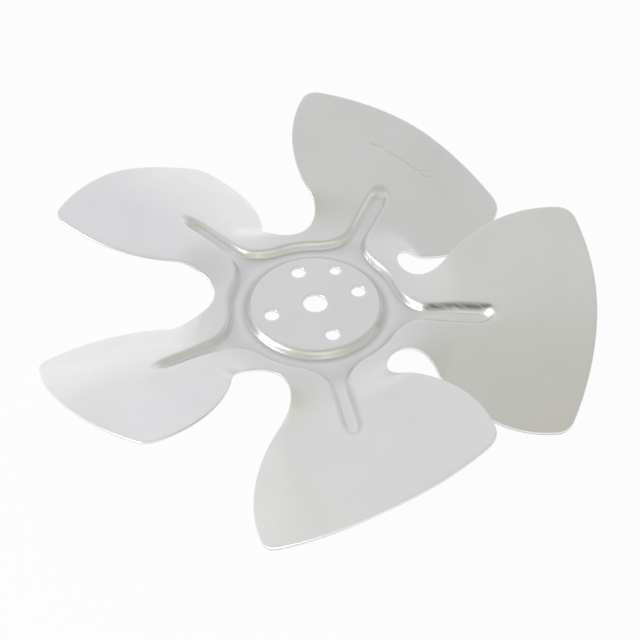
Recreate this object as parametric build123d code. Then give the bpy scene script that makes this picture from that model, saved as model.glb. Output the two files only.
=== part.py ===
from build123d import *
import math
import os

# Axial fan impeller pressed from one disc of aluminium sheet.
# Origin: centre of the shaft hole, on the underside of the mounting disc.
# +Z is the shaft's direction, out of the disc's upper face; +X runs along the rib of the
# blade that stands over the locating hole. Lengths are in millimetres, angles in degrees.

# Blank
rotor_diameter = 200.0
blade_count = 5
sheet_thickness = 1.0

# Mounting disc
shaft_hole_diameter = 8.8
screw_hole_diameter = 5.2
screw_hole_count = 4
screw_circle_diameter = 33.2
locating_hole_diameter = 4.1
locating_hole_distance = 18.0

# Pressed groove: a ring round the disc, with a straight rib out along each blade
groove_depth = 3.0
groove_wall_angle = 62.0
bend_radius = 0.8              # inside radius of each bend in the sheet
ring_inner_radius = 23.5       # rim of the disc
ring_outer_radius = 31.5       # rim of the ring's outer wall
rib_width = 6.6                # between the rims of a rib
rib_reach = 64.5               # from the axis to the rim of a rib's end
rib_root_radius = 8.0          # in plan, between the ring's outer rim and a rib's rim

# Notch between two blades
notch_radius = 9.9
notch_distance = 46.2          # from the axis to the notch's centre

# Blade outline in plan: two side arcs, rounded corners and a tip arc
high_edge_radius = 46.0
low_edge_radius = 47.5
high_corner_angle = 25.1       # round the axis, from the rib to the unrounded corner
low_corner_angle = 21.9
high_corner_radius = 7.5
low_corner_radius = 6.7
tip_arc_offset = 12.4          # of the tip arc's centre from the axis
tip_arc_skew = -8.0            # direction of that offset, from the rib

# Blade surface
root_pitch_angle = 20.8        # where the twist is complete
tip_pitch_angle = 23.2
twist_end_radius = 52.5
camber_angle = 7.6             # each wing falls away from the rib by this
camber_bend_width = 12.0       # roundness of the bend between the wings
dihedral_angle = 2.6           # rise of the rib line towards the tip

# Grid of points that each smooth face of the sheet is laid through
surface_rows = 44
surface_lines = 32
surface_tolerance = 0.002
normal_step = 0.01             # distance over which the surface's slope is taken

# Derived sizes
tip_radius = rotor_diameter / 2
sector_angle = 360 / blade_count
half_sector = sector_angle / 2
notch_bottom = notch_distance - notch_radius
rim_radius = bend_radius + sheet_thickness
wall_turn = math.radians(groove_wall_angle)
wall_drop = groove_depth - (rim_radius + bend_radius) * (1 - math.cos(wall_turn))
wall_length = wall_drop / math.sin(wall_turn)
shoulder = rim_radius * math.tan(wall_turn / 2)      # from a bend's start to the rim
wall_run = (rim_radius + bend_radius) * math.sin(wall_turn) + wall_length * math.cos(wall_turn)
floor_inner_radius = ring_inner_radius - shoulder + wall_run
floor_outer_radius = ring_outer_radius + shoulder - wall_run
join_radius = (floor_inner_radius + floor_outer_radius) / 2
wall_gap = sheet_thickness / math.sin(wall_turn)     # thickness of a wall, measured level
form_depth = 0.8 * rib_width                         # reach of the pressing form, below the
form_height = 2 * groove_depth                       # disc's upper face and above it


def polar(radius, angle):
    """Point in plan at a radius and an angle in degrees from the rib."""
    return Vector(radius, 0).rotate(Axis.Z, angle)


def ramp(value):
    """Smooth step from 0 to 1."""
    t = min(max(value, 0.0), 1.0)
    return t * t * (3 - 2 * t)


def blade_height(x, y):
    """Height of the twisted, cambered sheet over the disc, before the groove is pressed."""
    radius = math.hypot(x, y)
    angle = math.atan2(y, x)
    apart = ramp((radius - notch_bottom) / (twist_end_radius - notch_bottom))
    across = radius * (
        (1 - apart) * math.sin(blade_count * angle) / blade_count + apart * math.sin(angle)
    )
    twist = ramp((radius - ring_outer_radius) / (twist_end_radius - ring_outer_radius))
    root_slope = math.tan(math.radians(root_pitch_angle))
    tip_slope = math.tan(math.radians(tip_pitch_angle))
    outwards = (radius - twist_end_radius) / (tip_radius - twist_end_radius)
    slope = root_slope + (tip_slope - root_slope) * outwards
    bend = math.hypot(across, camber_bend_width) - camber_bend_width
    rise = math.tan(math.radians(dihedral_angle)) * (radius - ring_outer_radius)
    return twist * (slope * across - math.tan(math.radians(camber_angle)) * bend + rise)


def upper_point(x, y):
    """Point on the sheet's upper face, before the groove is pressed."""
    return Vector(x, y, sheet_thickness + blade_height(x, y))


def below_upper(x, y, depth):
    """Point at a depth under the upper face, measured square to it."""
    along = upper_point(x + normal_step, y) - upper_point(x - normal_step, y)
    across = upper_point(x, y + normal_step) - upper_point(x, y - normal_step)
    return upper_point(x, y) - along.cross(across).normalized() * depth


def under(depth, press=0.0):
    """Everything in a sector that lies under the sheet's surface at a depth, pressed down."""
    margin = sheet_thickness + depth
    side_angle = half_sector + math.degrees(margin / join_radius)
    start = join_radius - margin
    row_step = (tip_radius + margin - start) / surface_rows
    grid = []
    for row in range(surface_rows + 1):
        places = [
            polar(start + row_step * row, side_angle * (2 * i / surface_lines - 1))
            for i in range(surface_lines + 1)
        ]
        points = [below_upper(place.X, place.Y, depth) for place in places]
        grid.append([point - Vector(0, 0, press) for point in points])
    face = Face.make_surface_from_array_of_points(
        grid, tol=surface_tolerance, min_deg=3, max_deg=3
    )
    return extrude(face, amount=tip_radius, dir=(0, 0, -1))


def meet(centre_a, radius_a, centre_b, radius_b, side):
    """Point where two circles cross, on the left (side 1) or right (-1) going from a to b."""
    line = centre_b - centre_a
    gap = line.length
    along = (radius_a**2 - radius_b**2 + gap**2) / (2 * gap)
    off = math.sqrt(radius_a**2 - along**2)
    unit = line / gap
    return centre_a + unit * along + Vector(-unit.Y, unit.X) * (off * side)


def towards(centre, other, radius):
    """Point on a circle in the direction of another centre."""
    return centre + (other - centre).normalized() * radius


def blade_side(side, corner_angle, edge_radius, corner_radius):
    """Arcs of one side, from the notch's bottom to the tip arc, and where they end."""
    notch = polar(notch_distance, side * half_sector)
    tip_centre = polar(tip_arc_offset, tip_arc_skew)
    arc_radius = tip_radius - tip_arc_offset
    direction = polar(1, side * corner_angle)
    reach = direction.dot(tip_centre)
    corner = direction * (reach + math.sqrt(reach**2 + arc_radius**2 - tip_arc_offset**2))
    edge = meet(corner, edge_radius, notch, edge_radius + notch_radius, side)
    rounding = meet(edge, edge_radius - corner_radius, tip_centre, arc_radius - corner_radius, -side)
    root = polar(notch_bottom, side * half_sector)
    leave = towards(notch, edge, notch_radius)
    turn = rounding + (rounding - edge).normalized() * corner_radius
    tip = rounding + (rounding - tip_centre).normalized() * corner_radius
    middle = (root + leave) / 2
    arcs = [
        ThreePointArc(root, towards(notch, middle, notch_radius), leave),
        ThreePointArc(leave, towards(edge, (leave + turn) / 2, edge_radius), turn),
        ThreePointArc(turn, towards(rounding, (turn + tip) / 2, corner_radius), tip),
    ]
    return arcs, root, tip


def sector_outline():
    """Plan face of one blade with its share of the ring, cut between two notches."""
    high_arcs, high_root, high_tip = blade_side(
        1, high_corner_angle, high_edge_radius, high_corner_radius
    )
    low_arcs, low_root, low_tip = blade_side(
        -1, low_corner_angle, low_edge_radius, low_corner_radius
    )
    tip_centre = polar(tip_arc_offset, tip_arc_skew)
    crown = towards(tip_centre, (high_tip + low_tip) / 2, tip_radius - tip_arc_offset)
    high_join = polar(join_radius, half_sector)
    low_join = polar(join_radius, -half_sector)
    edges = high_arcs + low_arcs + [
        ThreePointArc(high_tip, crown, low_tip),
        Line(high_join, high_root),
        Line(low_join, low_root),
        ThreePointArc(high_join, polar(join_radius, 0), low_join),
    ]
    return make_face(Wire.combine(edges)[0])


def groove_form(outset):
    """Tapered solid of ring and rib as far as the groove's wall, moved outwards by an outset."""
    below = form_depth + outset
    inset = below / math.tan(wall_turn) - outset
    width = rib_width - 2 * inset
    reach = rib_reach - inset
    rib = Pos(reach - width / 2, 0) * Circle(width / 2)
    rib += Pos((reach - width / 2) / 2, 0) * Rectangle(reach - width / 2, width)
    plan = Circle(ring_outer_radius - inset) + rib
    roots = [v for v in plan.vertices() if 0 < v.X < ring_outer_radius]
    plan = fillet(roots, rib_root_radius + inset)
    form = extrude(plan, amount=below + form_height, taper=groove_wall_angle - 90)
    return Pos(0, 0, sheet_thickness - below) * form


def make_blade():
    """One sector of the pressed sheet, with its blade and rib."""
    outline = extrude(sector_outline(), amount=tip_radius / 2, both=True)
    sheet = outline & under(0) - under(sheet_thickness)
    form = outline & groove_form(wall_gap)
    trough = form & under(sheet_thickness / 2) - under(sheet_thickness, groove_depth)
    return sheet + trough - (groove_form(0) - under(0, groove_depth))


def make_disc():
    """Mounting disc with the ring's inner wall and half of its floor, turned from a profile."""
    back = sheet_thickness * math.tan(wall_turn / 2)
    wall_foot = floor_inner_radius - bend_radius * math.tan(wall_turn / 2)
    floor = sheet_thickness - groove_depth
    upper = FilletPolyline(
        (0, sheet_thickness), (ring_inner_radius, sheet_thickness),
        (wall_foot, floor), (join_radius, floor),
        radius=[rim_radius, bend_radius],
    )
    lower = FilletPolyline(
        (0, 0), (ring_inner_radius - back, 0),
        (wall_foot - back, floor - sheet_thickness), (join_radius, floor - sheet_thickness),
        radius=[bend_radius, rim_radius],
    )
    ends = [Line(upper @ 0, lower @ 0), Line(upper @ 1, lower @ 1)]
    profile = make_face(Wire.combine([upper, lower] + ends)[0])
    return revolve(Rot(90, 0, 0) * profile, Axis.Z)


def disc_holes():
    """Shaft hole, screw holes on their circle and the locating hole."""
    through = 4 * sheet_thickness
    holes = [Cylinder(shaft_hole_diameter / 2, through)]
    spacing = 360 / screw_hole_count
    for index in range(screw_hole_count):
        place = Pos(*polar(screw_circle_diameter / 2, spacing * (index + 0.5)))
        holes.append(place * Cylinder(screw_hole_diameter / 2, through))
    place = Pos(locating_hole_distance, 0)
    holes.append(place * Cylinder(locating_hole_diameter / 2, through))
    return holes


blade = make_blade()
impeller = make_disc() - disc_holes()
impeller = impeller + [Rot(0, 0, sector_angle * index) * blade for index in range(blade_count)]

os.makedirs("parts", exist_ok=True)
export_step(impeller, "parts/impeller.step")
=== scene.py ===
import math

import bpy
import numpy as np
from bpy.props import FloatProperty, FloatVectorProperty, IntProperty, PointerProperty
from mathutils import Matrix, Vector
from mathutils.geometry import delaunay_2d_cdt


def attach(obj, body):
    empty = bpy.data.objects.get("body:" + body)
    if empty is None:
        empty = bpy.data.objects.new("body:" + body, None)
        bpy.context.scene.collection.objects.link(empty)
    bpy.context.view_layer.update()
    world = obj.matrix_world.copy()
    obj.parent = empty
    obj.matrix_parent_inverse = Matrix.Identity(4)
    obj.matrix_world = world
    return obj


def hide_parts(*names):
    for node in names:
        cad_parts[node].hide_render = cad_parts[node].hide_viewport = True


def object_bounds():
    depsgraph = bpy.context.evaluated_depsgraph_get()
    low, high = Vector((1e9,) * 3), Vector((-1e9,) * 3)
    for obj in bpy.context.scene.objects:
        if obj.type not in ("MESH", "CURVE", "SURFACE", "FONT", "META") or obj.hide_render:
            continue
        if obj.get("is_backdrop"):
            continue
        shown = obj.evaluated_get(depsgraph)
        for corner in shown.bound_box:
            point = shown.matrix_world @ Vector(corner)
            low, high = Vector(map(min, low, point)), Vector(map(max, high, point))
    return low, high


bl_info = {
    "name": "Pressed fan impeller",
    "version": (1, 0, 0),
    "blender": (4, 5, 0),
    "location": "View3D > Sidebar > Impeller",
    "description": "Makes a dressed axial impeller of pressed aluminium sheet, and its studio",
    "category": "Add Mesh",
}

MM = 0.001  # metres in a millimetre

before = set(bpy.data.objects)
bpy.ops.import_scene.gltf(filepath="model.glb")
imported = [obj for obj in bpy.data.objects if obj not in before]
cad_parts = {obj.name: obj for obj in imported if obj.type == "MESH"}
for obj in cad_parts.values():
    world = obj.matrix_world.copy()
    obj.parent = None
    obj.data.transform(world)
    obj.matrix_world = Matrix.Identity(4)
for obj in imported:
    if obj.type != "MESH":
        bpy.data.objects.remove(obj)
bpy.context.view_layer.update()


def length(name, description, millimetres):
    """A length that a user can change, given here in millimetres."""
    return FloatProperty(
        name=name, description=description, default=millimetres * MM, unit="LENGTH", precision=5
    )


def angle(name, description, degrees):
    """An angle that a user can change, given here in degrees."""
    return FloatProperty(
        name=name, description=description, default=math.radians(degrees), subtype="ANGLE"
    )


def share(name, description, value, most=1.0):
    """A plain number that a user can change."""
    return FloatProperty(name=name, description=description, default=value, min=0.0, max=most)


def tint(name, description, colour):
    """A colour that a user can change."""
    return FloatVectorProperty(
        name=name, description=description, default=colour, subtype="COLOR", min=0.0, max=1.0
    )


# ---------------------------------------------------------------- sizes and finishes


class SheetSizes(bpy.types.PropertyGroup):
    """Sizes of the pressed sheet"""

    blade_count: IntProperty(
        name="Blades", description="Blades round the disc", default=5, min=2, max=9
    )
    rotor_diameter: length("Diameter", "Across the tips of the blades", 200.0)
    sheet_thickness: length("Sheet thickness", "Gauge of the aluminium sheet", 1.0)
    shaft_hole_diameter: length("Shaft hole", "Hole at the middle of the disc", 8.8)
    screw_hole_diameter: length("Screw holes", "Four holes round the shaft hole", 5.2)
    screw_circle_diameter: length("Screw circle", "Circle through the screw holes", 33.2)
    locating_hole_diameter: length("Locating hole", "Small hole under one blade", 4.1)
    locating_hole_distance: length("Locating distance", "Locating hole from the axis", 18.0)
    groove_depth: length("Groove depth", "Depth of the pressed ring and ribs", 3.0)
    rib_wall_angle: angle("Rib wall", "Slope of a rib's walls", 62.0)
    rib_bend_radius: length("Rib bends", "Inside radius of the bends along a rib", 0.8)
    ring_wall_angle: angle("Ring wall", "Slope of the ring's walls", 64.0)
    ring_bend_radius: length("Ring bends", "Inside radius of the bends round the ring", 0.8)
    ring_inner_radius: length("Ring inner rim", "Where the mounting disc starts to bend", 22.42)
    ring_outer_radius: length("Ring outer rim", "Where the outer rim starts to bend", 32.58)
    rib_width: length("Rib width", "Between the rims of a rib", 6.6)
    rib_reach: length("Rib reach", "From the axis to a rib's end", 64.5)
    rib_end_angle: angle("Rib end wall", "Slope of the wall at a rib's end", 42.0)
    rib_root_radius: length("Rib root", "Rounding between the ring and a rib", 8.0)
    notch_radius: length("Notch radius", "Round notch between two blades", 9.9)
    notch_distance: length("Notch distance", "Notch's centre from the axis", 46.2)
    high_edge_radius: length("High edge", "Side arc of a blade's upper edge", 46.0)
    low_edge_radius: length("Low edge", "Side arc of a blade's lower edge", 47.5)
    high_corner_angle: angle("High corner", "From the rib to the upper corner", 25.1)
    low_corner_angle: angle("Low corner", "From the rib to the lower corner", 21.9)
    high_corner_radius: length("High rounding", "Rounding of the upper corner", 7.5)
    low_corner_radius: length("Low rounding", "Rounding of the lower corner", 6.7)
    tip_arc_offset: length("Tip offset", "Tip arc's centre from the axis", 12.4)
    tip_arc_skew: angle("Tip skew", "Direction of that offset from the rib", -8.0)
    root_pitch_angle: angle("Root pitch", "Blade angle where the twist ends", 20.8)
    tip_pitch_angle: angle("Tip pitch", "Blade angle at the tip", 23.2)
    twist_start_radius: length("Twist start", "Radius where the twist begins", 31.5)
    twist_end_radius: length("Twist end", "Radius where the twist is complete", 52.5)
    camber_angle: angle("Camber", "Fall of each wing away from the rib", 7.6)
    camber_bend_width: length("Camber bend", "Roundness between the wings", 12.0)
    dihedral_angle: angle("Dihedral", "Rise of the rib line to the tip", 2.6)
    edge_roll: length("Edge roll", "Rounding that shearing leaves on an edge", 0.14)
    # Side where the rim's painted shade is darkest: the side that faces the camera
    worn_side: angle("Worn side", "Where the press has scuffed the ring's rim most", 202.75)
    arrow_radius: length("Arrow radius", "Rotation arrow from the axis", 81.3)
    arrow_start: angle("Arrow head", "Where the rotation arrow points", 8.4)
    arrow_end: angle("Arrow tail", "Where the rotation arrow begins", -6.8)
    arrow_depth: length("Arrow depth", "Depth of the stamped rotation arrow", 0.28)


class SheetFinish(bpy.types.PropertyGroup):
    """Colour and surface of the aluminium"""

    metal: tint("Metal", "Colour of the clean sheet", (0.902, 0.9, 0.898))
    roughness: share("Roughness", "Roughness of the rolled surface", 0.31)
    grain: share("Grain", "How strongly the rolling lines show", 0.25)


class StudioSettings(bpy.types.PropertyGroup):
    """Camera, floor and light"""

    camera_azimuth: angle("Camera azimuth", "Turn of the view round the axis", -67.25)
    camera_elevation: angle("Camera elevation", "Camera above the disc's plane", 45.978)
    camera_roll: angle("Camera roll", "Turn about the line of sight", 0.771)
    camera_distance: length("Camera distance", "From the point looked at", 751.44)
    camera_lens: FloatProperty(
        name="Lens", description="Focal length on a 36 mm film, in millimetres", default=119.46
    )
    aim_right: length("Aim right", "Point looked at, to the right of the axis", 1.74)
    aim_near: length("Aim near", "Point looked at, nearer than the axis", 8.45)
    floor_size: length("Floor size", "Width of the floor", 6000.0)
    floor_colour: tint("Floor", "Colour of the floor", (0.93, 0.93, 0.93))
    floor_glow: share("Floor glow", "How far the floor is lifted to white", 0.93)
    sky_level: share("Sky level", "Brightness of the surroundings", 1.0, 2.0)


# ---------------------------------------------------------------- form of the sheet


class Form:
    """The sheet's sizes in millimetres and radians, with those that follow from them."""

    def __init__(self, sizes):
        for size in sizes.bl_rna.properties:
            if size.type in {"FLOAT", "INT"}:
                value = getattr(sizes, size.identifier)
                setattr(self, size.identifier, value / MM if size.unit == "LENGTH" else value)
        self.tip_radius = self.rotor_diameter / 2
        self.half_sector = math.pi / self.blade_count
        self.notch_bottom = self.notch_distance - self.notch_radius
        self.ring = Press(self, self.ring_wall_angle, self.ring_bend_radius)
        self.rib = Press(self, self.rib_wall_angle, self.rib_bend_radius)
        self.rib_half = self.rib_width / 2 + self.rib.shoulder
        self.end_stretch = self.rib.wall_slope / math.tan(self.rib_end_angle)
        self.rib_centre = self.rib_reach + (self.rib.shoulder - self.rib_half) * self.end_stretch
        self.join_radius = (self.ring_inner_radius + self.ring_outer_radius) / 2


class Press:
    """Profile of a pressed wall: rounded rim, straight slope, rounded foot, floor."""

    def __init__(self, form, wall, inside):
        self.depth = form.groove_depth
        self.foot_radius = inside
        self.rim_radius = inside + form.sheet_thickness
        self.wall_slope = math.tan(wall)
        self.rim_run = self.rim_radius * math.sin(wall)
        self.rim_drop = self.rim_radius * (1 - math.cos(wall))
        self.foot_run = inside * math.sin(wall)
        wall_drop = self.depth - (self.rim_radius + inside) * (1 - math.cos(wall))
        self.run = self.rim_run + wall_drop / self.wall_slope + self.foot_run
        self.shoulder = self.rim_radius * math.tan(wall / 2)

    def drop(self, inset):
        """Depth at an inset from where the rim starts to bend."""
        on_rim = np.clip(inset, 0, self.rim_run)
        rim = self.rim_radius - np.sqrt(self.rim_radius**2 - on_rim**2)
        wall = self.rim_drop + (inset - self.rim_run) * self.wall_slope
        on_foot = np.clip(self.run - inset, 0, self.foot_run)
        foot = self.depth - self.foot_radius + np.sqrt(self.foot_radius**2 - on_foot**2)
        return np.select(
            [inset < self.rim_run, inset < self.run - self.foot_run], [rim, wall], foot
        )


def polar(radius, turn):
    """Point in plan, as a complex number."""
    return radius * np.exp(1j * turn)


def unit(step):
    """Direction of a step in plan."""
    return step / abs(step)


def ramp(value):
    """Smooth step from 0 to 1."""
    t = np.clip(value, 0.0, 1.0)
    return t * t * (3 - 2 * t)


def blade_height(form, plan):
    """Height of the twisted, cambered sheet over the disc, before the groove is pressed."""
    radius = abs(plan)
    turn = np.angle(plan)
    apart = ramp((radius - form.notch_bottom) / (form.twist_end_radius - form.notch_bottom))
    ripple = np.sin(form.blade_count * turn) / form.blade_count
    across = radius * ((1 - apart) * ripple + apart * np.sin(turn))
    twist = ramp(
        (radius - form.twist_start_radius) / (form.twist_end_radius - form.twist_start_radius)
    )
    outwards = (radius - form.twist_end_radius) / (form.tip_radius - form.twist_end_radius)
    root_slope = math.tan(form.root_pitch_angle)
    slope = root_slope + (math.tan(form.tip_pitch_angle) - root_slope) * outwards
    bend = np.hypot(across, form.camber_bend_width) - form.camber_bend_width
    rise = math.tan(form.dihedral_angle) * (radius - form.twist_start_radius)
    return twist * (slope * across - math.tan(form.camber_angle) * bend + rise)


def groove_inset(form, plan):
    """Distance inside the line where the groove's rim starts to bend."""
    ring = form.ring_outer_radius - abs(plan)
    outwards = np.maximum(plan.real - form.rib_centre, 0) / form.end_stretch
    rib = form.rib_half - np.hypot(plan.imag, outwards)
    root = form.rib_root_radius
    joined = np.hypot(np.maximum(root + ring, 0), np.maximum(root + rib, 0)) - root
    return np.minimum(joined, abs(plan) - form.ring_inner_radius)


def press_drop(form, plan):
    """Depth of the groove, whose steep ring passes smoothly into the flatter ribs."""
    inset = groove_inset(form, plan)
    along_rib = ramp((abs(plan) - form.ring_outer_radius) / form.rib_root_radius)
    ring, rib = form.ring.drop(inset), form.rib.drop(inset)
    return ring + (rib - ring) * along_rib


# Painted shade along the groove's rim and corner, and a painted dark reflection along one rib's
# wall. Places and widths are in millimetres, or shares of the wall they lie on.
RIM_SHADE_PLACE = 0.55      # middle of the painted shade, as a share of the rounded rim
RIM_SHADE_HALF = 0.45       # its half width, as a share of the rounded rim
RIM_SHADE_LEAST = 0.2       # how dark the painted shade is everywhere
RIM_SHADE_SIDE_EXTRA = 0.7        # how much darker it is on the shaded side of each rim
SHADED_SIDE_SPREAD = 0.4          # how far the shaded side reaches round the ring
CORNER_SHADE_START = 0.7    # painted shade in the groove's corner, before the foot of the wall
CORNER_SHADE_RISE = 0.5
CORNER_SHADE_FADE = 1.0
CORNER_SHADE_STRENGTH = 0.6
DARK_BAND_HALF = 0.36           # half width of the band of painted dark reflection, as a share of the rib's wall
DARK_BAND_MARGIN = 3.0          # from the band to each end of the rib
DARK_BAND_RISE = 6.0
DARK_BAND_FADE = 2.0
NUDGE = 1e-9               # keeps a point on the axis from being divided by nothing


def press_line(form, plan):
    """Painted shade on the groove's rim and in its corner, from 0 to 1: darker on the ring's rim
    facing the camera and on the disc's rim facing away.
    """
    inset = groove_inset(form, plan)
    on_ring = 1 - ramp((abs(plan) - form.ring_outer_radius) / form.rib_root_radius)
    rim_run = form.ring.rim_run
    rim = 1 - ramp(abs(inset - RIM_SHADE_PLACE * rim_run) / (RIM_SHADE_HALF * rim_run))
    past_foot = inset - form.ring.run
    corner = ramp((past_foot + CORNER_SHADE_START) / CORNER_SHADE_RISE)
    corner = corner * (1 - ramp(past_foot / CORNER_SHADE_FADE))
    facing = (unit(plan + NUDGE) * polar(1, form.worn_side).conjugate()).real
    near = ramp(SHADED_SIDE_SPREAD + facing)
    on_shaded_side = np.where(abs(plan) > form.join_radius, near, 1 - near)
    rim = rim * (RIM_SHADE_LEAST + RIM_SHADE_SIDE_EXTRA * on_ring * on_shaded_side)
    return np.maximum(rim, CORNER_SHADE_STRENGTH * on_ring * corner)


def painted_wall_reflection(form, plan):
    """Where a dark reflection is painted on one wall of the last blade's rib, from 0 to 1."""
    local = plan * polar(1, 2 * form.half_sector)
    wall = form.rib_half - form.rib.run / 2
    across = 1 - ramp(abs(local.imag - wall) / (DARK_BAND_HALF * form.rib.run))
    start = form.ring_outer_radius + DARK_BAND_MARGIN
    end = form.rib_reach - DARK_BAND_MARGIN
    rise = ramp((local.real - start) / DARK_BAND_RISE)
    return across * rise * (1 - ramp((local.real - end) / DARK_BAND_FADE))


def from_segment(plan, start, end):
    """Distance from a straight line between two points."""
    along = ((plan - start) * np.conj(end - start)).real / abs(end - start) ** 2
    return abs(plan - start - np.clip(along, 0, 1) * (end - start))


# Rotation arrow, in millimetres
ARROW_LINE = 0.45           # half width of the stamped lines
HEAD_LENGTH = 5.0
HEAD_HALF_WIDTH = 1.0
FEATHER_STEPS = (0.0, 3.0)  # from the tail to where each pair of feathers starts
FEATHER_SIDE = 1.9          # each feather's reach sideways and backwards
FEATHER_BACK = 2.6


def from_arrow(form, plan):
    """Distance from the rotation arrow: a curved shaft, a filled head and feathers."""
    turn = np.clip(np.angle(plan), form.arrow_end, form.arrow_start)
    shaft = abs(plan - polar(form.arrow_radius, turn))
    tip = polar(form.arrow_radius, form.arrow_start)
    local = (plan - tip) / unit(tip)
    behind = -local.imag
    half_width = HEAD_HALF_WIDTH * np.clip(behind / HEAD_LENGTH, 0, 1)
    beside = np.maximum(abs(local.real) - half_width, 0)
    beyond = np.maximum(np.maximum(-behind, behind - HEAD_LENGTH), 0)
    closest = np.minimum(shaft, np.hypot(beside, beyond))
    for step in FEATHER_STEPS:
        root = polar(form.arrow_radius, form.arrow_end + step / form.arrow_radius)
        for side in (-1, 1):
            feather = root + unit(root) * complex(side * FEATHER_SIDE, -FEATHER_BACK)
            closest = np.minimum(closest, from_segment(plan, root, feather))
    return closest


def upper_face(form, plan, marked):
    """Height of the sheet's upper face."""
    height = form.sheet_thickness + blade_height(form, plan)
    height = height - press_drop(form, plan)
    if marked:
        height = height - form.arrow_depth * (1 - ramp(from_arrow(form, plan) / ARROW_LINE))
    return height


# ---------------------------------------------------------------- outline in plan


def meet(centre_a, radius_a, centre_b, radius_b, side):
    """Where two circles cross, on the left (side 1) or right (-1) going from a to b."""
    line = centre_b - centre_a
    gap = abs(line)
    along = (radius_a**2 - radius_b**2 + gap**2) / (2 * gap)
    off = math.sqrt(radius_a**2 - along**2)
    return centre_a + line / gap * complex(along, off * side)


EDGE_SPACING = 1.0  # most between two points of the cut edge, in millimetres
ARC_FINENESS = 9    # fewest points in a turn of one radian


def arc_points(centre, start, end):
    """Points of the shorter arc about a centre, from its start up to its end."""
    turn = np.angle((end - centre) / (start - centre))
    radius = abs(start - centre)
    spacing = min(EDGE_SPACING, radius / ARC_FINENESS)
    count = max(3, math.ceil(abs(turn) * radius / spacing))
    return centre + (start - centre) * np.exp(1j * turn * np.arange(count) / count)


def side_arcs(form, side, corner_angle, edge_radius, corner_radius):
    """Centre, start and end of each arc of one side, from the notch's bottom to the tip."""
    notch = polar(form.notch_distance, side * form.half_sector)
    tip_centre = polar(form.tip_arc_offset, form.tip_arc_skew)
    arc_radius = form.tip_radius - form.tip_arc_offset
    direction = polar(1, side * corner_angle)
    reach = (direction.conjugate() * tip_centre).real
    away = math.sqrt(reach**2 + arc_radius**2 - form.tip_arc_offset**2)
    corner = direction * (reach + away)
    edge = meet(corner, edge_radius, notch, edge_radius + form.notch_radius, side)
    rounding = meet(
        edge, edge_radius - corner_radius, tip_centre, arc_radius - corner_radius, -side
    )
    root = polar(form.notch_bottom, side * form.half_sector)
    leave = notch + unit(edge - notch) * form.notch_radius
    turn = rounding + unit(rounding - edge) * corner_radius
    tip = rounding + unit(rounding - tip_centre) * corner_radius
    return [(notch, root, leave), (edge, leave, turn), (rounding, turn, tip)]


def free_edge(form):
    """The blade's cut edge in plan, from notch to notch, and the way into the sheet."""
    low = side_arcs(
        form, -1, form.low_corner_angle, form.low_edge_radius, form.low_corner_radius
    )
    high = side_arcs(
        form, 1, form.high_corner_angle, form.high_edge_radius, form.high_corner_radius
    )
    tip_centre = polar(form.tip_arc_offset, form.tip_arc_skew)
    arcs = low + [(tip_centre, low[-1][2], high[-1][2])]
    arcs += [(centre, end, start) for centre, start, end in reversed(high)]
    points, inwards = [], []
    for number, (centre, start, end) in enumerate(arcs):
        run = arc_points(centre, start, end)
        if number == len(arcs) - 1:
            run = np.append(run, end)
        out_of_notch = 1 if number in (0, len(arcs) - 1) else -1
        points.extend(run)
        inwards.extend(out_of_notch * (run - centre) / abs(run - centre))
    return np.array(points), np.array(inwards)


# Steps of each line along the groove: on the ring, its rounding to the rib, and the rib
RING_STEPS = 9
ROOT_STEPS = 18
SIDE_STEPS = 16
END_STEPS = 12


def groove_line(form, inset):
    """The line in plan at an inset from the groove's rim, from one notch to the other."""
    root = form.rib_root_radius
    radius = form.ring_outer_radius - inset
    foot = math.asin((form.rib_half + root) / radius)
    ring = polar(radius, np.linspace(form.half_sector, foot, RING_STEPS, endpoint=False))
    turns = np.linspace(0, math.pi / 2, ROOT_STEPS, endpoint=False)
    ring_share = (root + inset) * np.cos(turns) - root
    rib_share = (root + inset) * np.sin(turns) - root
    height = form.rib_half - rib_share
    corner = np.sqrt((form.ring_outer_radius - ring_share) ** 2 - height**2) + 1j * height
    level = form.rib_half - inset
    start = math.sqrt((form.ring_outer_radius + root) ** 2 - level**2)
    side = np.linspace(start, form.rib_centre, SIDE_STEPS, endpoint=False) + 1j * level
    turns = np.linspace(0, math.pi / 2, END_STEPS + 1)
    end = form.rib_centre + level * (np.cos(turns) * 1j + np.sin(turns) * form.end_stretch)
    half = np.concatenate([ring, corner, side, end])
    half[-1] = half[-1].real
    return np.concatenate([half, np.conj(half[-2::-1])])


WALL_LINES = 15   # lines down the groove's wall, closer together at its bends
BEND_SHARE = 0.4  # how strongly they crowd there
FLAT_STEP = 0.45  # from the wall to the line on the flat beside it, in millimetres
FLOOR_STEP = 0.4  # from the wall to the line on the groove's floor


def groove_insets(form):
    """Insets of the lines that follow the groove's bends, with one beyond each end."""
    run = max(form.ring.run, form.rib.run)
    bends = run * (1 - np.cos(np.linspace(0, math.pi, WALL_LINES))) / 2
    even = np.linspace(0, run, WALL_LINES)
    return [-FLAT_STEP, *((1 - BEND_SHARE) * even + BEND_SHARE * bends), run + FLOOR_STEP]


# ---------------------------------------------------------------- meshing


PLACE_DIGITS = 4   # decimals that tell two points apart
RADIUS_DIGITS = 5  # decimals that tell two radii apart
INSIDE_ONLY = 1    # keeps the triangles inside the outer line
SAME_POINT = 1e-6  # points closer than this are taken as one


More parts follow.
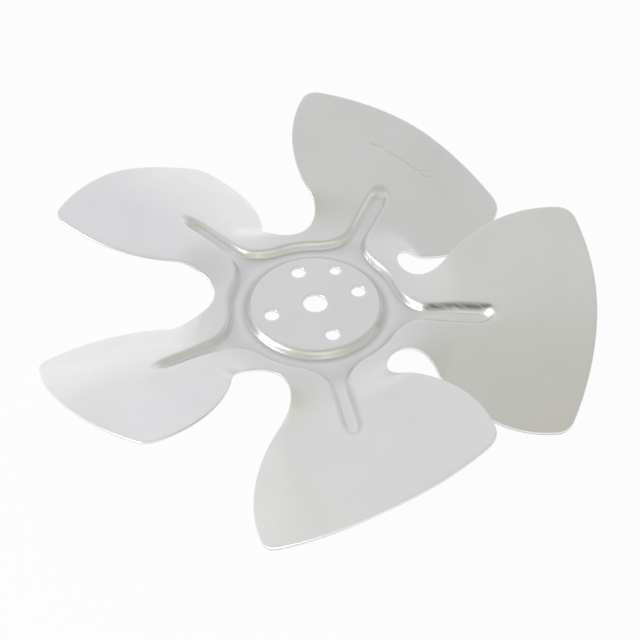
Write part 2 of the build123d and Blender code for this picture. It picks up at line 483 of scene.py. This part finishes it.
class Plan:
    """Points in plan, and the lines between them that the triangles must follow."""

    def __init__(self):
        self.points = []
        self.lines = []
        self.places = {}

    def add(self, point):
        """Index of a point, which is kept once however often it is given."""
        key = (round(point.real, PLACE_DIGITS), round(point.imag, PLACE_DIGITS))
        if key not in self.places:
            self.places[key] = len(self.points)
            self.points.append(complex(point))
        return self.places[key]

    def line(self, points, closed=False):
        """Adds a line through points and returns their indices."""
        run = [self.add(point) for point in points]
        ends = run[1:] + run[:1] if closed else run[1:]
        self.lines += [(a, b) for a, b in zip(run, ends) if a != b]
        return run

    def triangles(self):
        """Points and triangles inside the outer line, and each given point's new index."""
        corners = [Vector((point.real, point.imag)) for point in self.points]
        points, _, faces, origins, _, _ = delaunay_2d_cdt(
            corners, self.lines, [], INSIDE_ONLY, SAME_POINT
        )
        moved = {given: new for new, group in enumerate(origins) for given in group}
        return np.array([complex(*point) for point in points]), np.array(faces), moved


def within(plan, loop):
    """Whether each point lies inside a closed loop."""
    result = np.zeros(len(plan), bool)
    for start, end in zip(loop, np.roll(loop, -1)):
        if start.imag != end.imag:
            crosses = (start.imag > plan.imag) != (end.imag > plan.imag)
            share_of = (plan.imag - start.imag) / (end.imag - start.imag)
            result ^= crosses & (plan.real < start.real + share_of * (end.real - start.real))
    return result


def nearest(plan, targets):
    """Distance of each point from the nearest of some others."""
    return np.array([abs(targets - point).min() for point in plan])


def lattice(low, high, spacing):
    """Evenly spaced points over a rectangle, each row half a step from the last."""
    rise = spacing * math.sqrt(3) / 2
    rows = np.arange(low.imag, high.imag, rise)
    places = np.arange(low.real, high.real, spacing)
    return np.concatenate(
        [places + spacing / 2 * (number % 2) + 1j * row for number, row in enumerate(rows)]
    )


EDGE_STEPS = (0.0, 0.16, 0.4)  # lines beside a cut edge, in millimetres from it
FILL_STEP = 1.6                # between the loose points that fill the sheet
CLEAR_STEP = 0.7               # least distance from a loose point to a line
SLOPE_STEP = 0.005             # over which the sheet's slope is taken
SQUARE_RUN = 3.0               # thicknesses from an upright cut edge to a square underside
UNDER_ROLL = 0.5               # the underside's rounding, as a share of the upper face's
SLIVER = 1e-7                  # twice the area under which a triangle is dropped


def sheet_mesh(name, form, plan, rims, marked=False):
    """Mesh of the sheet over a plan: upper face, underside and the cut edges between."""
    points, faces, moved = plan.triangles()
    a, b, c = (points[faces[:, side]] for side in range(3))
    centres = (a + b + c) / 3
    turns = ((b - a).conjugate() * (c - a)).imag
    rim_points = np.concatenate([np.array(plan.points)[rim] for rim in rims])
    open_loops = [np.array(plan.points)[rim] for rim in rims if rim[0] == rim[-1]]
    faces = np.where(turns[:, None] > 0, faces, faces[:, ::-1])
    keep = abs(turns) > SLIVER
    for loop in open_loops:
        keep &= ~within(centres, loop)
    faces = faces[keep]

    top = upper_face(form, points, marked)
    slope = sum(
        way * (
            upper_face(form, points + way * SLOPE_STEP, marked)
            - upper_face(form, points - way * SLOPE_STEP, marked)
        )
        for way in (1, 1j)
    ) / (2 * SLOPE_STEP)
    steep = np.sqrt(1 + abs(slope) ** 2)
    from_edge = nearest(points, rim_points)
    roll = form.edge_roll * (1 - np.clip(from_edge / EDGE_STEPS[-1], 0, 1)) ** 2
    lean = form.sheet_thickness * ramp(from_edge / (SQUARE_RUN * form.sheet_thickness))
    below = points + lean * slope / steep
    bottom = top + lean * abs(slope) ** 2 / steep - form.sheet_thickness * steep
    upper = np.column_stack([points.real, points.imag, top - roll])
    under = np.column_stack([below.real, below.imag, bottom + UNDER_ROLL * roll])

    count = len(points)
    sides = []
    for rim in rims:
        run = [moved[index] for index in rim]
        sides += [(i + count, j + count, j, i) for i, j in zip(run, run[1:])]
    everything = np.concatenate([upper, under]) * MM
    triangles = faces.tolist() + (faces[:, ::-1] + count).tolist()
    mesh = bpy.data.meshes.new(name)
    mesh.from_pydata(everything.tolist(), [], triangles + sides)
    # Painted shade along the groove, on the upper face only; the underside gets none
    groove_shade_values = np.append(press_line(form, points), np.zeros(count))
    mesh.attributes.new("press_line", "FLOAT", "POINT").data.foreach_set("value", groove_shade_values)
    mesh.validate()
    mesh.shade_smooth()
    return mesh


JOIN_STEPS = 28            # steps along the circle where a blade meets the disc
NOTCH_LINES = (0.4, 0.7)   # points between the ring and a notch, as shares of the way
ARROW_STEP = 0.5           # between the fine points round the arrow, in half widths of its lines
ARROW_FINE = 2.0           # how far the fine points reach, in the same measure
ARROW_CLEAR = 3.0          # where the loose points start


def blade_mesh(form, marked):
    """One blade with its rib and its share of the ring."""
    plan = Plan()
    edge, inwards = free_edge(form)
    insets = groove_insets(form)
    ends = [form.join_radius, form.notch_bottom]
    ends += [form.ring_outer_radius - inset for inset in insets]
    ends += [form.notch_bottom - step for step in EDGE_STEPS]
    gap = form.notch_bottom - EDGE_STEPS[-1] - form.ring_outer_radius
    ends += [form.ring_outer_radius + gap * part for part in NOTCH_LINES]
    ends += [(form.join_radius + form.ring_outer_radius - insets[-1]) / 2]
    radii = np.array(sorted(set(round(end, RADIUS_DIGITS) for end in ends)))
    low_side = [polar(radius, -form.half_sector) for radius in radii]
    high_side = [polar(radius, form.half_sector) for radius in radii[::-1]]
    turns = np.linspace(form.half_sector, -form.half_sector, JOIN_STEPS + 1)
    join = polar(form.join_radius, turns)
    plan.line(low_side)
    rim = plan.line(edge)
    plan.line(high_side)
    plan.line(join)
    for step in EDGE_STEPS[1:]:
        plan.line(edge + inwards * step)
    for inset in insets:
        plan.line(groove_line(form, inset))
    outline = np.concatenate([low_side[:-1], edge[:-1], high_side[:-1], join[:-1]])
    corner = complex(form.tip_radius, form.tip_radius)
    loose = lattice(complex(form.join_radius, -form.tip_radius), corner, FILL_STEP)
    loose = loose[within(loose, outline)]
    loose = loose[groove_inset(form, loose) < insets[0] - CLEAR_STEP]
    if marked:
        start = complex(form.notch_distance, -form.tip_radius)
        fine = lattice(start, corner, ARROW_STEP * ARROW_LINE)
        fine = fine[from_arrow(form, fine) < ARROW_FINE * ARROW_LINE]
        loose = loose[from_arrow(form, loose) > ARROW_CLEAR * ARROW_LINE]
        loose = np.concatenate([loose, fine])
    for point in loose[nearest(loose, outline) > EDGE_STEPS[-1] + CLEAR_STEP]:
        plan.add(point)
    return sheet_mesh("marked blade" if marked else "plain blade", form, plan, [rim], marked)


SCREW_HOLES = 4
HOLE_FINENESS = 10  # half the points round a hole of 1 mm radius; others by its square root


def hole_places(form):
    """Centre and radius of each hole in the disc."""
    holes = [(0j, form.shaft_hole_diameter / 2)]
    for number in range(SCREW_HOLES):
        turn = math.pi / SCREW_HOLES + number * 2 * math.pi / SCREW_HOLES
        holes.append((polar(form.screw_circle_diameter / 2, turn), form.screw_hole_diameter / 2))
    holes.append((complex(form.locating_hole_distance), form.locating_hole_diameter / 2))
    return holes


def disc_mesh(form):
    """The mounting disc with its holes, the ring's inner wall and half of its floor."""
    plan = Plan()
    steps = JOIN_STEPS * form.blade_count
    round_turns = np.arange(steps) * 2 * math.pi / steps
    start = form.half_sector
    insets = groove_insets(form)
    plan.line(polar(form.join_radius, start + round_turns), closed=True)
    for number, inset in enumerate(insets):
        offset = start + (number % 2) * math.pi / steps
        plan.line(polar(form.ring_inner_radius + inset, offset + round_turns), closed=True)
    rims = []
    holes = hole_places(form)
    for centre, radius in holes:
        count = 2 * round(HOLE_FINENESS * math.sqrt(radius))
        turns = np.arange(0, -count, -1) * 2 * math.pi / count
        for step in EDGE_STEPS:
            loop = plan.line(centre + polar(radius + step, turns), closed=True)
            if step == 0.0:
                rims.append(loop + loop[:1])
    corner = complex(form.ring_inner_radius, form.ring_inner_radius)
    loose = lattice(-corner, corner, FILL_STEP)
    loose = loose[groove_inset(form, loose) < insets[0] - CLEAR_STEP]
    for centre, radius in holes:
        loose = loose[abs(loose - centre) > radius + EDGE_STEPS[-1] + CLEAR_STEP]
    for point in loose:
        plan.add(point)
    return sheet_mesh("disc", form, plan, rims)


# ---------------------------------------------------------------- node trees


def node(tree, kind, inputs=None, **settings):
    """Adds a node, sets it and links or fills its inputs."""
    made = tree.nodes.new(kind)
    for name, value in settings.items():
        setattr(made, name, value)
    for name, value in (inputs or {}).items():
        if isinstance(value, bpy.types.NodeSocket):
            tree.links.new(value, made.inputs[name])
        else:
            made.inputs[name].default_value = value
    return made


def maths(tree, operation, *values):
    """Adds a node that works out one number from others."""
    return node(
        tree, "ShaderNodeMath", dict(enumerate(values)), operation=operation
    ).outputs[0]


def dot(tree, vector, other):
    """Adds a node for the dot product of two vectors."""
    return node(
        tree, "ShaderNodeVectorMath", {0: vector, 1: other}, operation="DOT_PRODUCT"
    ).outputs["Value"]


def noise(tree, vector, scale, detail, roughness=0.5):
    """Adds a noise and returns its grey."""
    return node(
        tree, "ShaderNodeTexNoise",
        {"Vector": vector, "Scale": scale, "Detail": detail, "Roughness": roughness},
    ).outputs["Fac"]


def mapped(tree, value, given, wanted, kind="LINEAR"):
    """Adds a node that turns one range of numbers into another."""
    ends = {"From Min": given[0], "From Max": given[1], "To Min": wanted[0], "To Max": wanted[1]}
    return node(
        tree, "ShaderNodeMapRange", {"Value": value, **ends}, interpolation_type=kind
    ).outputs[0]


def laid_over(tree, factor, under, over):
    """Adds a node that lays one colour over another."""
    return node(
        tree, "ShaderNodeMix", {"Factor": factor, 6: under, 7: over}, data_type="RGBA"
    ).outputs[2]


def painted(tree, name):
    """Adds a node that reads a number kept on the mesh's points."""
    return node(tree, "ShaderNodeAttribute", attribute_name=name).outputs["Fac"]


def new_material(name):
    """A material with an empty tree."""
    material = bpy.data.materials.new(name)
    material.use_nodes = True
    material.node_tree.nodes.clear()
    return material, material.node_tree


def ring_tree():
    """Tree that sets blades round the disc, the first of them marked, as one sheet."""
    tree = bpy.data.node_groups.new("Blades round the disc", "GeometryNodeTree")
    for name, kind in (
        ("Geometry", "NodeSocketGeometry"), ("Marked blade", "NodeSocketObject"),
        ("Disc", "NodeSocketObject"), ("Blades", "NodeSocketInt"),
        ("Weld distance", "NodeSocketFloat"), ("Material", "NodeSocketMaterial"),
    ):
        tree.interface.new_socket(name, in_out="INPUT", socket_type=kind)
    tree.interface.new_socket("Geometry", in_out="OUTPUT", socket_type="NodeSocketGeometry")
    given = node(tree, "NodeGroupInput").outputs
    index = node(tree, "GeometryNodeInputIndex").outputs[0]
    step = maths(tree, "DIVIDE", 2 * math.pi, given["Blades"])
    turn = maths(tree, "MULTIPLY", step, index)
    euler = node(tree, "ShaderNodeCombineXYZ", {"Z": turn}).outputs[0]
    rotation = node(tree, "FunctionNodeEulerToRotation", {0: euler}).outputs[0]
    places = node(tree, "GeometryNodePoints", {"Count": given["Blades"]}).outputs[0]
    others = node(
        tree, "FunctionNodeCompare", {2: index, 3: 0}, data_type="INT", operation="GREATER_THAN"
    ).outputs[0]
    blades = node(
        tree, "GeometryNodeInstanceOnPoints",
        {
            "Points": places, "Selection": others,
            "Instance": given["Geometry"], "Rotation": rotation,
        },
    ).outputs[0]
    marked = node(tree, "GeometryNodeObjectInfo", {"Object": given["Marked blade"]})
    disc = node(tree, "GeometryNodeObjectInfo", {"Object": given["Disc"]})
    join = node(tree, "GeometryNodeJoinGeometry")
    for part in (disc.outputs["Geometry"], marked.outputs["Geometry"], blades):
        tree.links.new(part, join.inputs[0])
    real = node(tree, "GeometryNodeRealizeInstances", {0: join.outputs[0]}).outputs[0]
    weld = node(
        tree, "GeometryNodeMergeByDistance", {0: real, "Distance": given["Weld distance"]}
    ).outputs[0]
    finished = node(
        tree, "GeometryNodeSetMaterial", {0: weld, "Material": given["Material"]}
    ).outputs[0]
    node(tree, "NodeGroupOutput", {0: finished})
    return tree


# The rolled surface
ROLLING_TURN = math.radians(67.25)  # of the rolling lines, round the axis
ROLLING_STRETCH = (1, 0.035, 0.2)   # scale on each axis, which draws the lines out
DULL_TONE = 0.93                    # tones of the marks, the painted groove shade and the painted dark reflection, as shares of the clean metal's
SPECK_TONE = 0.5
GROOVE_SHADE_TONE = 0.6
DARK_REFLECTION_TONE = 0.22
GRAIN_SPREAD = 0.1                  # change of roughness between the lines, at full grain
GLOSS_SPREAD = (-0.03, 0.04)        # change of roughness over the clouds

# Ranges of a noise, and how strongly a mark shows over each
MIDDLE = (0.3, 0.7)
CLOUD_RANGE, CLOUD_SHARE = (0.35, 0.65), (0.0, 0.5)
BAND_STREAK_RANGE, BAND_STREAK_SHARE = (0.35, 0.55), (0.55, 1.0)
DUST_RANGE, DUST_SHARE = (0.75, 0.79), (0.0, 0.3)


def aluminium(finish):
    """Rolled aluminium sheet: fine rolling lines one way, clouds and specks, with painted shade
    in the groove and a painted dark reflection on one rib's wall.
    """
    material, tree = new_material("rolled aluminium")
    place = node(tree, "ShaderNodeTexCoord").outputs["Object"]
    along = node(
        tree, "ShaderNodeMapping",
        {"Vector": place, "Rotation": (0, 0, ROLLING_TURN), "Scale": ROLLING_STRETCH},
    ).outputs[0]
    lines = noise(tree, along, scale=1500, detail=4, roughness=0.6)
    clouds = noise(tree, place, scale=34, detail=5, roughness=0.62)
    waves = noise(tree, place, scale=16, detail=1)
    dust = noise(tree, place, scale=900, detail=2)

    clean, dull, dark, groove_shaded, darkly_reflecting = (
        (*[part * tone for part in finish.metal], 1)
        for tone in (1.0, DULL_TONE, SPECK_TONE, GROOVE_SHADE_TONE, DARK_REFLECTION_TONE)
    )
    colour = laid_over(tree, mapped(tree, clouds, CLOUD_RANGE, CLOUD_SHARE), clean, dull)
    # Painted shade along the groove's rims and corner, kept on the mesh
    colour = laid_over(tree, painted(tree, "press_line"), colour, groove_shaded)
    # Painted dark reflection on one rib's wall, streaked along the rolling lines
    band_streaks = mapped(tree, lines, BAND_STREAK_RANGE, BAND_STREAK_SHARE)
    reflection_mask = maths(tree, "MULTIPLY", painted(tree, "drawn"), band_streaks)
    colour = laid_over(tree, reflection_mask, colour, darkly_reflecting)
    colour = laid_over(tree, mapped(tree, dust, DUST_RANGE, DUST_SHARE), colour, dark)

    spread = GRAIN_SPREAD * finish.grain
    streak = mapped(tree, lines, MIDDLE, (-spread, spread))
    levels = [finish.roughness + change for change in GLOSS_SPREAD]
    rough = maths(tree, "ADD", streak, mapped(tree, clouds, MIDDLE, levels))
    ripple = node(
        tree, "ShaderNodeBump", {"Height": waves, "Strength": 0.25, "Distance": 0.4 * MM}
    ).outputs[0]
    bump = node(
        tree, "ShaderNodeBump",
        {"Height": lines, "Strength": spread, "Distance": 0.01 * MM, "Normal": ripple},
    ).outputs[0]
    surface = node(
        tree, "ShaderNodeBsdfPrincipled",
        {"Base Color": colour, "Metallic": 1.0, "Roughness": rough, "Normal": bump},
    ).outputs[0]
    node(tree, "ShaderNodeOutputMaterial", {"Surface": surface})
    return material


def pale_floor(studio):
    """Matt white floor, lifted to white for what looks at it, keeping its shadow."""
    material, tree = new_material("pale floor")
    path = node(tree, "ShaderNodeLightPath").outputs
    seen = maths(tree, "MAXIMUM", path["Is Camera Ray"], path["Is Glossy Ray"])
    seen = maths(tree, "MAXIMUM", seen, path["Is Transmission Ray"])
    lift = maths(tree, "MULTIPLY", seen, studio.floor_glow)
    matt = node(
        tree, "ShaderNodeBsdfDiffuse", {"Color": (*studio.floor_colour, 1)}
    ).outputs[0]
    glow = node(tree, "ShaderNodeEmission", {"Color": (1, 1, 1, 1), "Strength": 1.0}).outputs[0]
    mixed = node(tree, "ShaderNodeMixShader", {0: lift, 1: matt, 2: glow}).outputs[0]
    node(tree, "ShaderNodeOutputMaterial", {"Surface": mixed})
    return material


# ---------------------------------------------------------------- making


WELD_DISTANCE = 0.02 * MM  # closes the seams between the blades and the disc
FLOOR_GAP = 0.1 * MM       # between the floor and the lowest edge


def new_object(name, mesh):
    """Object at the origin that carries a mesh."""
    made = bpy.data.objects.new(name, mesh)
    bpy.context.scene.collection.objects.link(made)
    return made


class MakeSheet(bpy.types.Operator):
    """Make the impeller's pressed sheet, with its blades, ribs, ring, disc and holes"""

    bl_idname = "impeller.make_sheet"
    bl_label = "Pressed sheet"

    def execute(self, context):
        scene = context.scene
        form = Form(scene.impeller_sizes)
        sheet = new_object("impeller_sheet", blade_mesh(form, False))
        marked = new_object("marked blade", blade_mesh(form, True))
        disc = new_object("disc", disc_mesh(form))
        material = aluminium(scene.impeller_finish)
        tree = ring_tree()
        ring = sheet.modifiers.new("Blades", "NODES")
        ring.node_group = tree
        values = {
            "Marked blade": marked, "Disc": disc, "Blades": form.blade_count,
            "Weld distance": WELD_DISTANCE, "Material": material,
        }
        for socket in tree.interface.items_tree:
            if socket.in_out == "INPUT" and socket.name in values:
                ring[socket.identifier] = values[socket.name]
        context.view_layer.update()
        shown = sheet.evaluated_get(context.evaluated_depsgraph_get())
        whole = bpy.data.meshes.new_from_object(shown)
        sheet.modifiers.remove(ring)
        sheet.data = whole
        whole.name = "impeller_sheet"
        # Painted dark reflection on one wall of the last blade's rib, on faces that look up
        places = np.array([vertex.co for vertex in whole.vertices]) / MM
        facing = np.array([vertex.normal.z > 0 for vertex in whole.vertices])
        drawn = painted_wall_reflection(form, places[:, 0] + 1j * places[:, 1]) * facing
        whole.attributes.new("drawn", "FLOAT", "POINT").data.foreach_set("value", drawn)
        for helper in (marked, disc):
            bpy.data.objects.remove(helper)
        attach(sheet, "root")
        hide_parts("impeller")
        return {"FINISHED"}


# Brightness of the surroundings. Every way is given along the camera's right, level and away
# from it, and up.
SKY_MEAN = 0.70
SKY_LEAN = (-0.064, 0.139, -0.051)  # how it leans to one side
SKY_CURVE = ((-0.041, 0.019, -0.035), (0.019, 0.021, -0.062), (-0.035, -0.062, 0.0))
SKY_DIM = (-0.1, -0.5, 0.86)        # way to the dimmest place, in front and overhead
DIM_REACH = (0.78, 1.0)             # cosines to that way, at its edge and its middle
DIM_DEPTH = 0.1
BLUE_LEAN = (0, 0.056, 0)           # how the blue leans besides
BLUE_LACK = 0.03                    # how much less blue there is all round

# Name, place in metres along the same three ways, width, height and watts of each lamp
LAMPS = (
    ("front box", (-0.87, -0.48, 0.22), 0.75, 0.4, 4.4),
    ("front fill", (0.3, -1.0, 0.25), 1.2, 1.2, 0.93),
)
FILM_WIDTH = 36   # millimetres
VIEW_DEPTH = 100  # metres


class MakeStage(bpy.types.Operator):
    """Make the floor, the soft light and the camera"""

    bl_idname = "impeller.make_stage"
    bl_label = "Floor, light and camera"

    def execute(self, context):
        scene = context.scene
        studio = scene.impeller_studio
        turn = Matrix.Rotation(studio.camera_azimuth, 3, "Z")
        self.make_floor(studio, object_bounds()[0].z)
        self.make_sky(scene, studio, turn)
        self.make_lamps(turn)
        self.make_camera(scene, studio, turn)
        scene.view_settings.view_transform = "Standard"
        return {"FINISHED"}

    def make_floor(self, studio, level):
        """A wide square just under the object."""
        half = studio.floor_size / 2
        height = level - FLOOR_GAP
        corners = [(x * half, y * half, height) for x, y in ((-1, -1), (1, -1), (1, 1), (-1, 1))]
        mesh = bpy.data.meshes.new("floor")
        mesh.from_pydata(corners, [], [(0, 1, 2, 3)])
        mesh.materials.append(pale_floor(studio))
        new_object("floor", mesh)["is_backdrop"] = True

    def make_sky(self, scene, studio, turn):
        """Soft surroundings: palest behind the object, dimmest in front and overhead."""
        world = bpy.data.worlds.new("studio")
        scene.world = world
        world.use_nodes = True
        tree = world.node_tree
        tree.nodes.clear()
        way = node(tree, "ShaderNodeTexCoord").outputs["Generated"]
        rows = turn @ Matrix(SKY_CURVE) @ turn.transposed()
        bent = node(
            tree, "ShaderNodeCombineXYZ", {axis: dot(tree, way, rows[axis]) for axis in range(3)}
        ).outputs[0]
        leaning = node(
            tree, "ShaderNodeVectorMath", {0: bent, 1: turn @ Vector(SKY_LEAN)}
        ).outputs[0]
        level = studio.sky_level
        grey = maths(tree, "MULTIPLY_ADD", dot(tree, way, leaning), level, SKY_MEAN * level)
        overhead = dot(tree, way, turn @ Vector(SKY_DIM))
        dim = mapped(tree, overhead, DIM_REACH, (0.0, DIM_DEPTH), "SMOOTHSTEP")
        grey = maths(tree, "SUBTRACT", grey, dim)
        blue = maths(tree, "ADD", grey, dot(tree, way, turn @ Vector(BLUE_LEAN)))
        blue = maths(tree, "SUBTRACT", blue, BLUE_LACK)
        colour = node(tree, "ShaderNodeCombineColor", {0: grey, 1: grey, 2: blue}).outputs[0]
        light = node(tree, "ShaderNodeBackground", {"Color": colour, "Strength": 1.0}).outputs[0]
        node(tree, "ShaderNodeOutputWorld", {"Surface": light})

    def make_lamps(self, turn):
        """Two low lamps in front: a soft box to the left for the glints, and a wide weak fill."""
        for name, place, width, height, power in LAMPS:
            lamp = bpy.data.lights.new(name, "AREA")
            lamp.shape = "ELLIPSE"
            lamp.size = width
            lamp.size_y = height
            lamp.energy = power
            made = new_object(name, lamp)
            spot = turn @ Vector(place)
            made.location = spot
            made.rotation_euler = (-spot).to_track_quat("-Z", "Y").to_euler()

    def make_camera(self, scene, studio, turn):
        """The camera, looking down on the disc."""
        rise = studio.camera_elevation
        back = turn @ Vector((0, -math.cos(rise), math.sin(rise)))
        right = turn @ Vector((1, 0, 0))
        up = back.cross(right)
        roll = studio.camera_roll
        across = math.cos(roll) * right + math.sin(roll) * up
        over = math.cos(roll) * up - math.sin(roll) * right
        aim = turn @ Vector((studio.aim_right, -studio.aim_near, 0))
        aim.z = scene.impeller_sizes.sheet_thickness
        lens = bpy.data.cameras.new("camera")
        lens.sensor_width = FILM_WIDTH
        lens.lens = studio.camera_lens
        lens.clip_end = VIEW_DEPTH
        camera = new_object("camera", lens)
        pose = Matrix((across, over, back)).transposed().to_4x4()
        pose.translation = aim + back * studio.camera_distance
        camera.matrix_world = pose
        scene.camera = camera


class ImpellerPanel(bpy.types.Panel):
    """Sizes, finish and makers of the impeller"""

    bl_idname = "VIEW3D_PT_impeller"
    bl_label = "Pressed impeller"
    bl_space_type = "VIEW_3D"
    bl_region_type = "UI"
    bl_category = "Impeller"

    def draw(self, context):
        layout = self.layout
        for group in ("impeller_sizes", "impeller_finish", "impeller_studio"):
            box = layout.box()
            settings = getattr(context.scene, group)
            for name in settings.__annotations__:
                box.prop(settings, name)
        for operator in (MakeSheet, MakeStage):
            layout.operator(operator.bl_idname)


GROUPS = {
    "impeller_sizes": SheetSizes,
    "impeller_finish": SheetFinish,
    "impeller_studio": StudioSettings,
}
CLASSES = (*GROUPS.values(), MakeSheet, MakeStage, ImpellerPanel)


def register():
    for each in CLASSES:
        bpy.utils.register_class(each)
    for name, group in GROUPS.items():
        setattr(bpy.types.Scene, name, PointerProperty(type=group))


def unregister():
    for name in GROUPS:
        delattr(bpy.types.Scene, name)
    for each in reversed(CLASSES):
        bpy.utils.unregister_class(each)


def main():
    register()
    bpy.ops.impeller.make_sheet()
    bpy.ops.impeller.make_stage()


if __name__ == "__main__":
    main()
